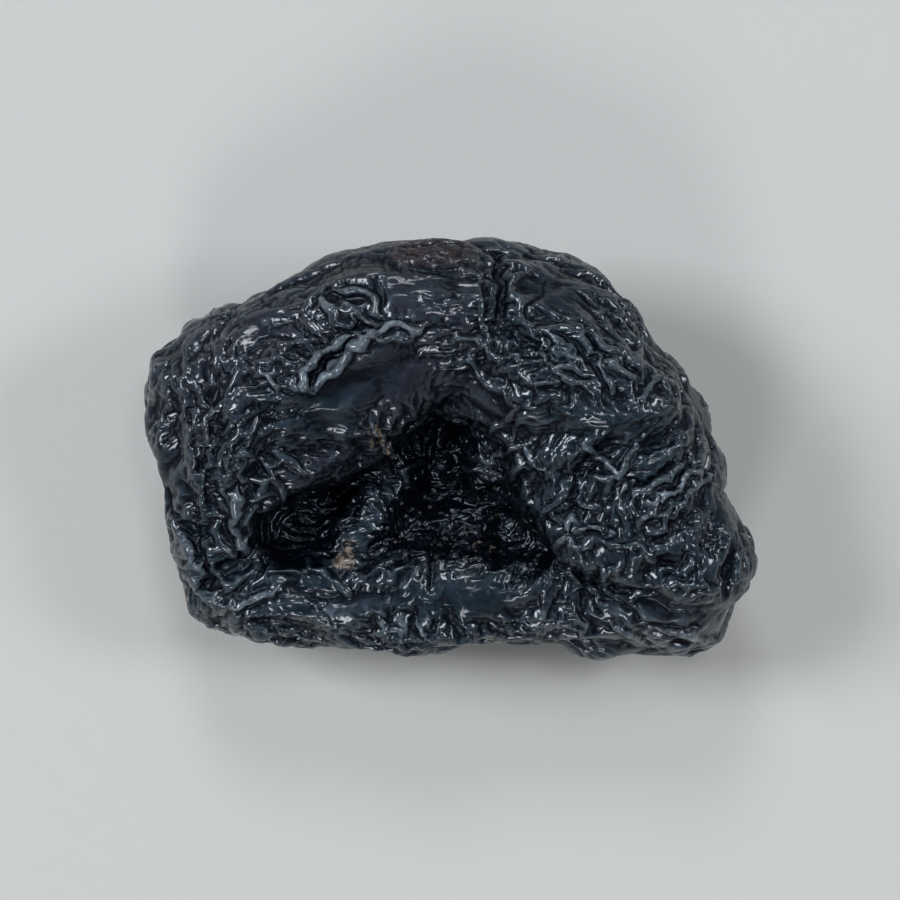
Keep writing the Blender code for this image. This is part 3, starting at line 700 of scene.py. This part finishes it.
def skinColour(tree, inMm, ridge, speck, crinkle, creases, sunk):
    looks = plumLooks
    # slate and plum tints in slow patches, more plum on the crown
    patch = noised(tree, inMm, 1 / looks["patch"], 4)
    both = worked(tree, "MULTIPLY_ADD", readShare(tree, "plum"), 0.28, patch)
    colour = mixed(tree, ranged(tree, both, 0.5, 0.72), looks["slate"], looks["plum"])
    # bloom, in a finer broken pattern, only on what stands proud: real bloom, and a painted highlight that
    # makes the ridges lighter than the creases
    bloomAndRidgeLight = worked(tree, "MULTIPLY", ranged(tree, speck, 0.42, 0.68), ranged(tree, ridge, -0.2, 0.8))
    colour = mixed(tree, bloomAndRidgeLight, colour, looks["bloomAndRidgeLight"])
    # painted highlight: light lines on the crests of the skin's ridges and of the net of finest wrinkles,
    # standing in for glints
    highlightBreak = ranged(tree, speck, 0.35, 0.60, 0.15, 1.0)
    ridgeHighlightLine = worked(tree, "MULTIPLY", ranged(tree, ridge, 0.45, 1.0, 0.0, 0.7), highlightBreak)
    crestHighlight = worked(tree, "MAXIMUM", ridgeHighlightLine, worked(tree, "MULTIPLY", crinkle, 0.8))
    colour = mixed(tree, crestHighlight, colour, looks["crestHighlight"])
    # dried sugar and a painted highlight along the listed crests
    sugarHighlightLine = worked(tree, "MULTIPLY", ranged(tree, ridge, 0.20, 0.85), highlightBreak)
    sugarAndHighlight = worked(tree, "MULTIPLY", sugarHighlightLine, readShare(tree, "highlitCrests"), use_clamp=True)
    colour = mixed(tree, sugarAndHighlight, colour, looks["sugarAndHighlight"])
    # brown round the stalk scar and where pulp sticks
    mottle = ranged(tree, speck, 0.36, 0.62, 0.35, 1.0)
    browned = worked(tree, "MULTIPLY", readShare(tree, "brown"), mottle)
    colour = mixed(tree, browned, colour, looks["brown"])
    # painted shade: creases and the hollow, where the plain solid hides the sky, go near black, the
    # painted highlights on the hollow's crests less so
    colour = mixed(tree, creases, colour, looks["creaseShade"])
    keptLight = ranged(tree, crestHighlight, atLow=1.0, atHigh=0.6)
    colour = mixed(tree, worked(tree, "MULTIPLY", sunk, keptLight), colour, looks["hollow"])
    # torn skin with the pulp showing, in light and dark fibres
    fibres = noised(tree, inMm, looks["fibres"], 3)
    torn = worked(tree, "MULTIPLY", readShare(tree, "flesh"), fibres)
    pulp = mixed(tree, ranged(tree, fibres, 0.40, 0.58), looks["fleshDark"], looks["flesh"])
    return mixed(tree, ranged(tree, torn, 0.18, 0.42), colour, pulp)


# duller where there is bloom and where the skin is smooth, sharper in the moist hollow
def skinRoughness(tree, speck, crinkled, sunk):
    looks = plumLooks
    dull = ranged(tree, speck, 0.3, 0.7, looks["roughness"] - 0.1, looks["roughness"] + 0.12)
    matt = ranged(tree, crinkled, 0.02, 0.30, looks["mattSmooth"], 0.0)
    return worked(tree, "MULTIPLY_ADD", sunk, looks["wetHollow"], worked(tree, "ADD", dull, matt))


# the glossy coat of sugar is on what stands free, and less of it on the smooth and the brown places
def skinCoat(tree, crinkled, creases, sunk):
    looks = plumLooks
    hidden = worked(tree, "MAXIMUM", creases, worked(tree, "MULTIPLY", sunk, looks["dryHollow"]))
    bared = ranged(tree, hidden, atLow=looks["sticky"], atHigh=looks["sticky"] * 0.1)
    tight = ranged(tree, crinkled, 0.02, 0.30, looks["dullSmooth"], 1.0)
    scarred = ranged(tree, readShare(tree, "brown"), atLow=1.0, atHigh=looks["dullBrown"])
    return worked(tree, "MULTIPLY", worked(tree, "MULTIPLY", bared, tight), scarred)


# grain, dimples and finest wrinkles, each on the one before: strength, height in m, pattern
def skinRelief(tree, inMm, crinkle):
    looks = plumLooks
    reliefs = (
        (0.25, looks["grainHigh"], noised(tree, inMm, 1 / looks["grain"], 2)),
        (0.6, looks["poresHigh"], noised(tree, inMm, 1 / looks["pores"], 3)),
        (0.9, looks["crinkleHigh"], crinkle),
    )
    below = {}
    for strength, height, pattern in reliefs:
        bump = addNode(tree, "ShaderNodeBump",
                       {"Strength": strength, "Distance": height, "Height": pattern, **below})
        below = {"Normal": bump.outputs[0]}
    return below["Normal"]


def skinMaterial():
    material = bpy.data.materials.new("driedPlumSkin")
    material.use_nodes = True
    tree = material.node_tree
    place = addNode(tree, "ShaderNodeTexCoord").outputs["Object"]
    inMm = addNode(tree, "ShaderNodeMapping", {"Vector": place, "Scale": (1000, 1000, 1000)}).outputs[0]
    ridge = readShare(tree, "ridge")
    crinkled = readShare(tree, "crinkled")
    crinkle = crinkleNet(tree, inMm, crinkled)
    speck = noised(tree, inMm, plumLooks["specks"], 6, Roughness=0.65)
    # creases, from the ridge and fold shares: painted shade in the colour, and less coat
    creases = worked(tree, "MAXIMUM", ranged(tree, ridge, 0.0, -0.5),
                     ranged(tree, readShare(tree, "fold"), 0.0, -1.0))
    # sunk: the share of sky that the plain solid hides, painted as shade in the hollow's colour and used
    # for its gloss
    sunk = ranged(tree, readShare(tree, "shelter"), 0.15, 0.43)
    shader = tree.nodes["Principled BSDF"]
    made = {
        "Base Color": skinColour(tree, inMm, ridge, speck, crinkle, creases, sunk),
        "Roughness": skinRoughness(tree, speck, crinkled, sunk),
        "Coat Weight": skinCoat(tree, crinkled, creases, sunk),
        "Normal": skinRelief(tree, inMm, crinkle),
    }
    for name, socket in made.items():
        tree.links.new(socket, shader.inputs[name])
    shader.inputs["IOR"].default_value = plumLooks["waxIor"]
    shader.inputs["Specular Tint"].default_value = linear(plumLooks["sheen"])
    shader.inputs["Coat Roughness"].default_value = plumLooks["coatRoughness"]
    return material


# Crumbs of dried pulp, left in the hollow where the stone was pushed out: matte, and paler than its walls.
crumbSizes = {
    "perSquareMm": 1.3,
    "radius": 0.21 * mm,
    "smallest": (0.3, 0.3, 0.2),    # as shares of the radius
    "largest": (1.5, 1.0, 0.7),
    "lumps": 6000.0,                # to a m
    "seed": 5,
    "dark": "#14110d",
    "light": "#4b463f",
    "grain": 9000.0,                # to a m
    "roughness": 0.55,
}


def crumbTree(material):
    tree = bpy.data.node_groups.new("crumbs", "GeometryNodeTree")
    for name, kind in (("Geometry", "NodeSocketGeometry"), ("Density", "NodeSocketFloat"),
                       ("Radius", "NodeSocketFloat"), ("Seed", "NodeSocketInt")):
        tree.interface.new_socket(name=name, in_out="INPUT", socket_type=kind)
    tree.interface.new_socket(name="Geometry", in_out="OUTPUT", socket_type="NodeSocketGeometry")
    given = tree.nodes.new("NodeGroupInput").outputs
    share = addNode(tree, "GeometryNodeInputNamedAttribute", {"Name": "pulp"}, data_type="FLOAT")
    density = worked(tree, "MULTIPLY", share.outputs[0], given["Density"])
    spread = addNode(tree, "GeometryNodeDistributePointsOnFaces",
                     {"Mesh": given["Geometry"], "Seed": given["Seed"], "Density": density})
    ball = addNode(tree, "GeometryNodeMeshIcoSphere", {"Radius": given["Radius"], "Subdivisions": 1})
    lumps = addNode(tree, "ShaderNodeTexNoise", {"Scale": crumbSizes["lumps"], "Detail": 1.0})
    middle = addNode(tree, "ShaderNodeVectorMath", {0: lumps.outputs["Color"], 1: (0.5, 0.5, 0.5)},
                     operation="SUBTRACT")
    dent = addNode(tree, "ShaderNodeVectorMath", {0: middle.outputs[0], "Scale": given["Radius"]},
                   operation="SCALE")
    lump = addNode(tree, "GeometryNodeSetPosition",
                   {"Geometry": ball.outputs[0], "Offset": dent.outputs[0]})
    turn = addNode(tree, "FunctionNodeRandomValue", {"Max": (6.283, 6.283, 6.283), "Seed": 1},
                   data_type="FLOAT_VECTOR")
    span = {"Min": crumbSizes["smallest"], "Max": crumbSizes["largest"], "Seed": 2}
    size = addNode(tree, "FunctionNodeRandomValue", span, data_type="FLOAT_VECTOR")
    put = addNode(tree, "GeometryNodeInstanceOnPoints",
                  {"Points": spread.outputs[0], "Instance": lump.outputs[0], "Rotation": turn.outputs[0],
                   "Scale": size.outputs[0]})
    tone = addNode(tree, "FunctionNodeRandomValue", {"Seed": 3}, data_type="FLOAT")
    toned = addNode(tree, "GeometryNodeStoreNamedAttribute",
                    {"Geometry": put.outputs[0], "Name": "tone", "Value": tone.outputs[1]},
                    data_type="FLOAT", domain="INSTANCE")
    real = addNode(tree, "GeometryNodeRealizeInstances", {"Geometry": toned.outputs[0]})
    finish = addNode(tree, "GeometryNodeSetMaterial", {"Geometry": real.outputs[0], "Material": material})
    addNode(tree, "NodeGroupOutput", {"Geometry": finish.outputs[0]})
    return tree


def crumbMaterial():
    material = bpy.data.materials.new("driedPulp")
    material.use_nodes = True
    tree = material.node_tree
    shader = tree.nodes["Principled BSDF"]
    place = addNode(tree, "ShaderNodeTexCoord").outputs["Object"]
    # each crumb has a tone of its own, with a fine grain in it
    both = worked(tree, "MULTIPLY", readShare(tree, "tone"), noised(tree, place, crumbSizes["grain"], 3))
    colour = mixed(tree, ranged(tree, both, 0.1, 0.55), crumbSizes["dark"], crumbSizes["light"])
    tree.links.new(colour, shader.inputs["Base Color"])
    shader.inputs["Roughness"].default_value = crumbSizes["roughness"]
    return material


def makeCrumbs(skin):
    material = crumbMaterial()
    carrier = newObject("crumbs", skin.data.copy())
    carrier.data.materials.clear()
    scatter = carrier.modifiers.new("scatter", "NODES")
    scatter.node_group = crumbTree(material)
    sockets = scatter.node_group.interface.items_tree
    wanted = {"Density": crumbSizes["perSquareMm"] * 1e6, "Radius": crumbSizes["radius"],
              "Seed": crumbSizes["seed"]}
    for name, value in wanted.items():
        scatter[sockets[name].identifier] = value
    mesh = finishedMesh(carrier, "pulp_crumbs")
    if not mesh.materials:
        mesh.materials.append(material)
    print("  crumbs have", sum(len(p.vertices) - 2 for p in mesh.polygons), "triangles")
    return newObject("pulp_crumbs", mesh)


# A pale room, with one soft light on each side of the fruit and one above it.
studio = {
    "floor": "#c0c0bd",
    "matt": 0.9,            # roughness of the floor
    "flatReach": 1.0,       # m
    "bend": 0.9,            # m, radius of the curve up
    "room": "#f2f5fa",
    "ceiling": 0.05,        # how bright the room is overhead and at eye level
    "walls": 0.70,
    "frameWidth": 62 * mm,  # what the camera sees across, at the top of the fruit
    "lens": 200,
    "nearest": 0.005,       # m, from where on it sees
    # place in m, size in m, power in W, colour
    "lights": {
        "left": ((-1.05, 0.30, 1.10), 0.52, 15.5, "#f2f6fc"),
        "right": ((1.10, 0.15, 1.05), 0.40, 7.5, "#f4f7fc"),
        "back": ((-0.10, 1.15, 1.10), 0.42, 7.8, "#f2f6fc"),
        "front": ((-0.25, -1.15, 1.05), 0.40, 6.4, "#f6f8fc"),
        "high": ((0.25, 0.30, 1.55), 0.30, 2.8, "#f6f8fc"),
    },
}


# flat round the fruit, and curved up into a wall far behind it on every side
def makeFloor():
    turns, steps = 96, 24
    flatReach, bend = studio["flatReach"], studio["bend"]
    rings = [(flatReach, 0.0)]
    for step in range(1, steps + 1):
        angle = math.pi / 2 * step / steps
        rings.append((flatReach + bend * math.sin(angle), bend * (1 - math.cos(angle))))
    points = [(0.0, 0.0, 0.0)]
    for reach, height in rings:
        for turn in range(turns):
            angle = 2 * math.pi * turn / turns
            points.append((reach * math.cos(angle), reach * math.sin(angle), height))
    faces = [(0, 1 + turn, 1 + (turn + 1) % turns) for turn in range(turns)]
    for ring in range(len(rings) - 1):
        for turn in range(turns):
            low, after = 1 + ring * turns, (turn + 1) % turns
            faces.append((low + turn, low + turns + turn, low + turns + after, low + after))
    mesh = bpy.data.meshes.new("floor")
    mesh.from_pydata(points, [], faces)
    mesh.shade_smooth()
    return mesh


def makeStudio():
    floor = newObject("floor", makeFloor())
    paper = bpy.data.materials.new("mattePaper")
    paper.use_nodes = True
    shader = paper.node_tree.nodes["Principled BSDF"]
    shader.inputs["Base Color"].default_value = linear(studio["floor"])
    shader.inputs["Roughness"].default_value = studio["matt"]
    floor.data.materials.append(paper)
    # pale walls under a dim ceiling
    world = bpy.data.worlds.new("studioRoom")
    world.use_nodes = True
    bpy.context.scene.world = world
    tree = world.node_tree
    direction = addNode(tree, "ShaderNodeTexCoord").outputs["Generated"]
    height = addNode(tree, "ShaderNodeSeparateXYZ", {0: direction}).outputs["Z"]
    strength = ranged(tree, height, 0.04, 0.28, studio["walls"], studio["ceiling"])
    tree.links.new(strength, tree.nodes["Background"].inputs["Strength"])
    tree.nodes["Background"].inputs["Color"].default_value = linear(studio["room"])
    for name, (place, size, power, colour) in studio["lights"].items():
        data = bpy.data.lights.new(name, "AREA")
        data.size = size
        data.energy = power
        data.color = linear(colour)[:3]
        light = newObject(name, data)
        light.location = place
        light.rotation_euler = (-Vector(place)).to_track_quat("-Z", "Y").to_euler()
    camera = newObject("camera", bpy.data.cameras.new("camera"))
    camera.data.lens = studio["lens"]
    camera.data.clip_start = studio["nearest"]
    distance = studio["frameWidth"] * studio["lens"] / camera.data.sensor_width
    camera.location = (0, 0, cadBox[1][2] + distance)
    bpy.context.scene.camera = camera
    bpy.context.scene.view_settings.view_transform = "Standard"


print("growing the skin")
skinPiece = makeSkin(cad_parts["prune"])
skinPiece.data.materials.append(skinMaterial())
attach(skinPiece, "root")
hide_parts("prune")

print("scattering the crumbs")
crumbPiece = makeCrumbs(skinPiece)
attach(crumbPiece, "root")

print("setting up floor, light and camera")
makeStudio()
